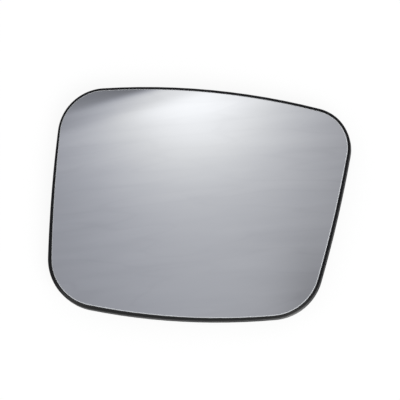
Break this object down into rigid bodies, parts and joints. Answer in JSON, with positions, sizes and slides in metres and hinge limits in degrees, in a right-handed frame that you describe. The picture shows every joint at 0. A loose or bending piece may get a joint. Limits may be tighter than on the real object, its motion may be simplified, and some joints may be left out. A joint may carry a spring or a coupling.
{
  "type": "car door mirror glass",
  "caption": "Convex door mirror glass in a thin black rim, bonded over a heater foil to a dished carrier with a clip ring behind.",
  "frame": {"origin": "middle of the clip ring's end face, the plane that the part rests on", "axes": "+Z out of the mirror's face, +X to the right and +Y upwards as the mirror is looked at from the front"},
  "size_m": [0.1765, 0.139, 0.0178],
  "materials": {
    "mirror": "chromed convex glass with a ground edge",
    "foil": "satin polyester film with a printed track",
    "foam": "matte foam",
    "carrier": "fine-grained black moulding",
    "terminal": "tinned strip",
    "rivet": "bright"
  },
  "bodies": {
    "root": {"mirror_glass": "mirror", "heater_foil": "foil", "foam_pad": "foam", "carrier_plate": "carrier", "terminal_left": "terminal", "terminal_right": "terminal", "rivet_left": "rivet", "rivet_right": "rivet"}
  },
  "joints": []
}
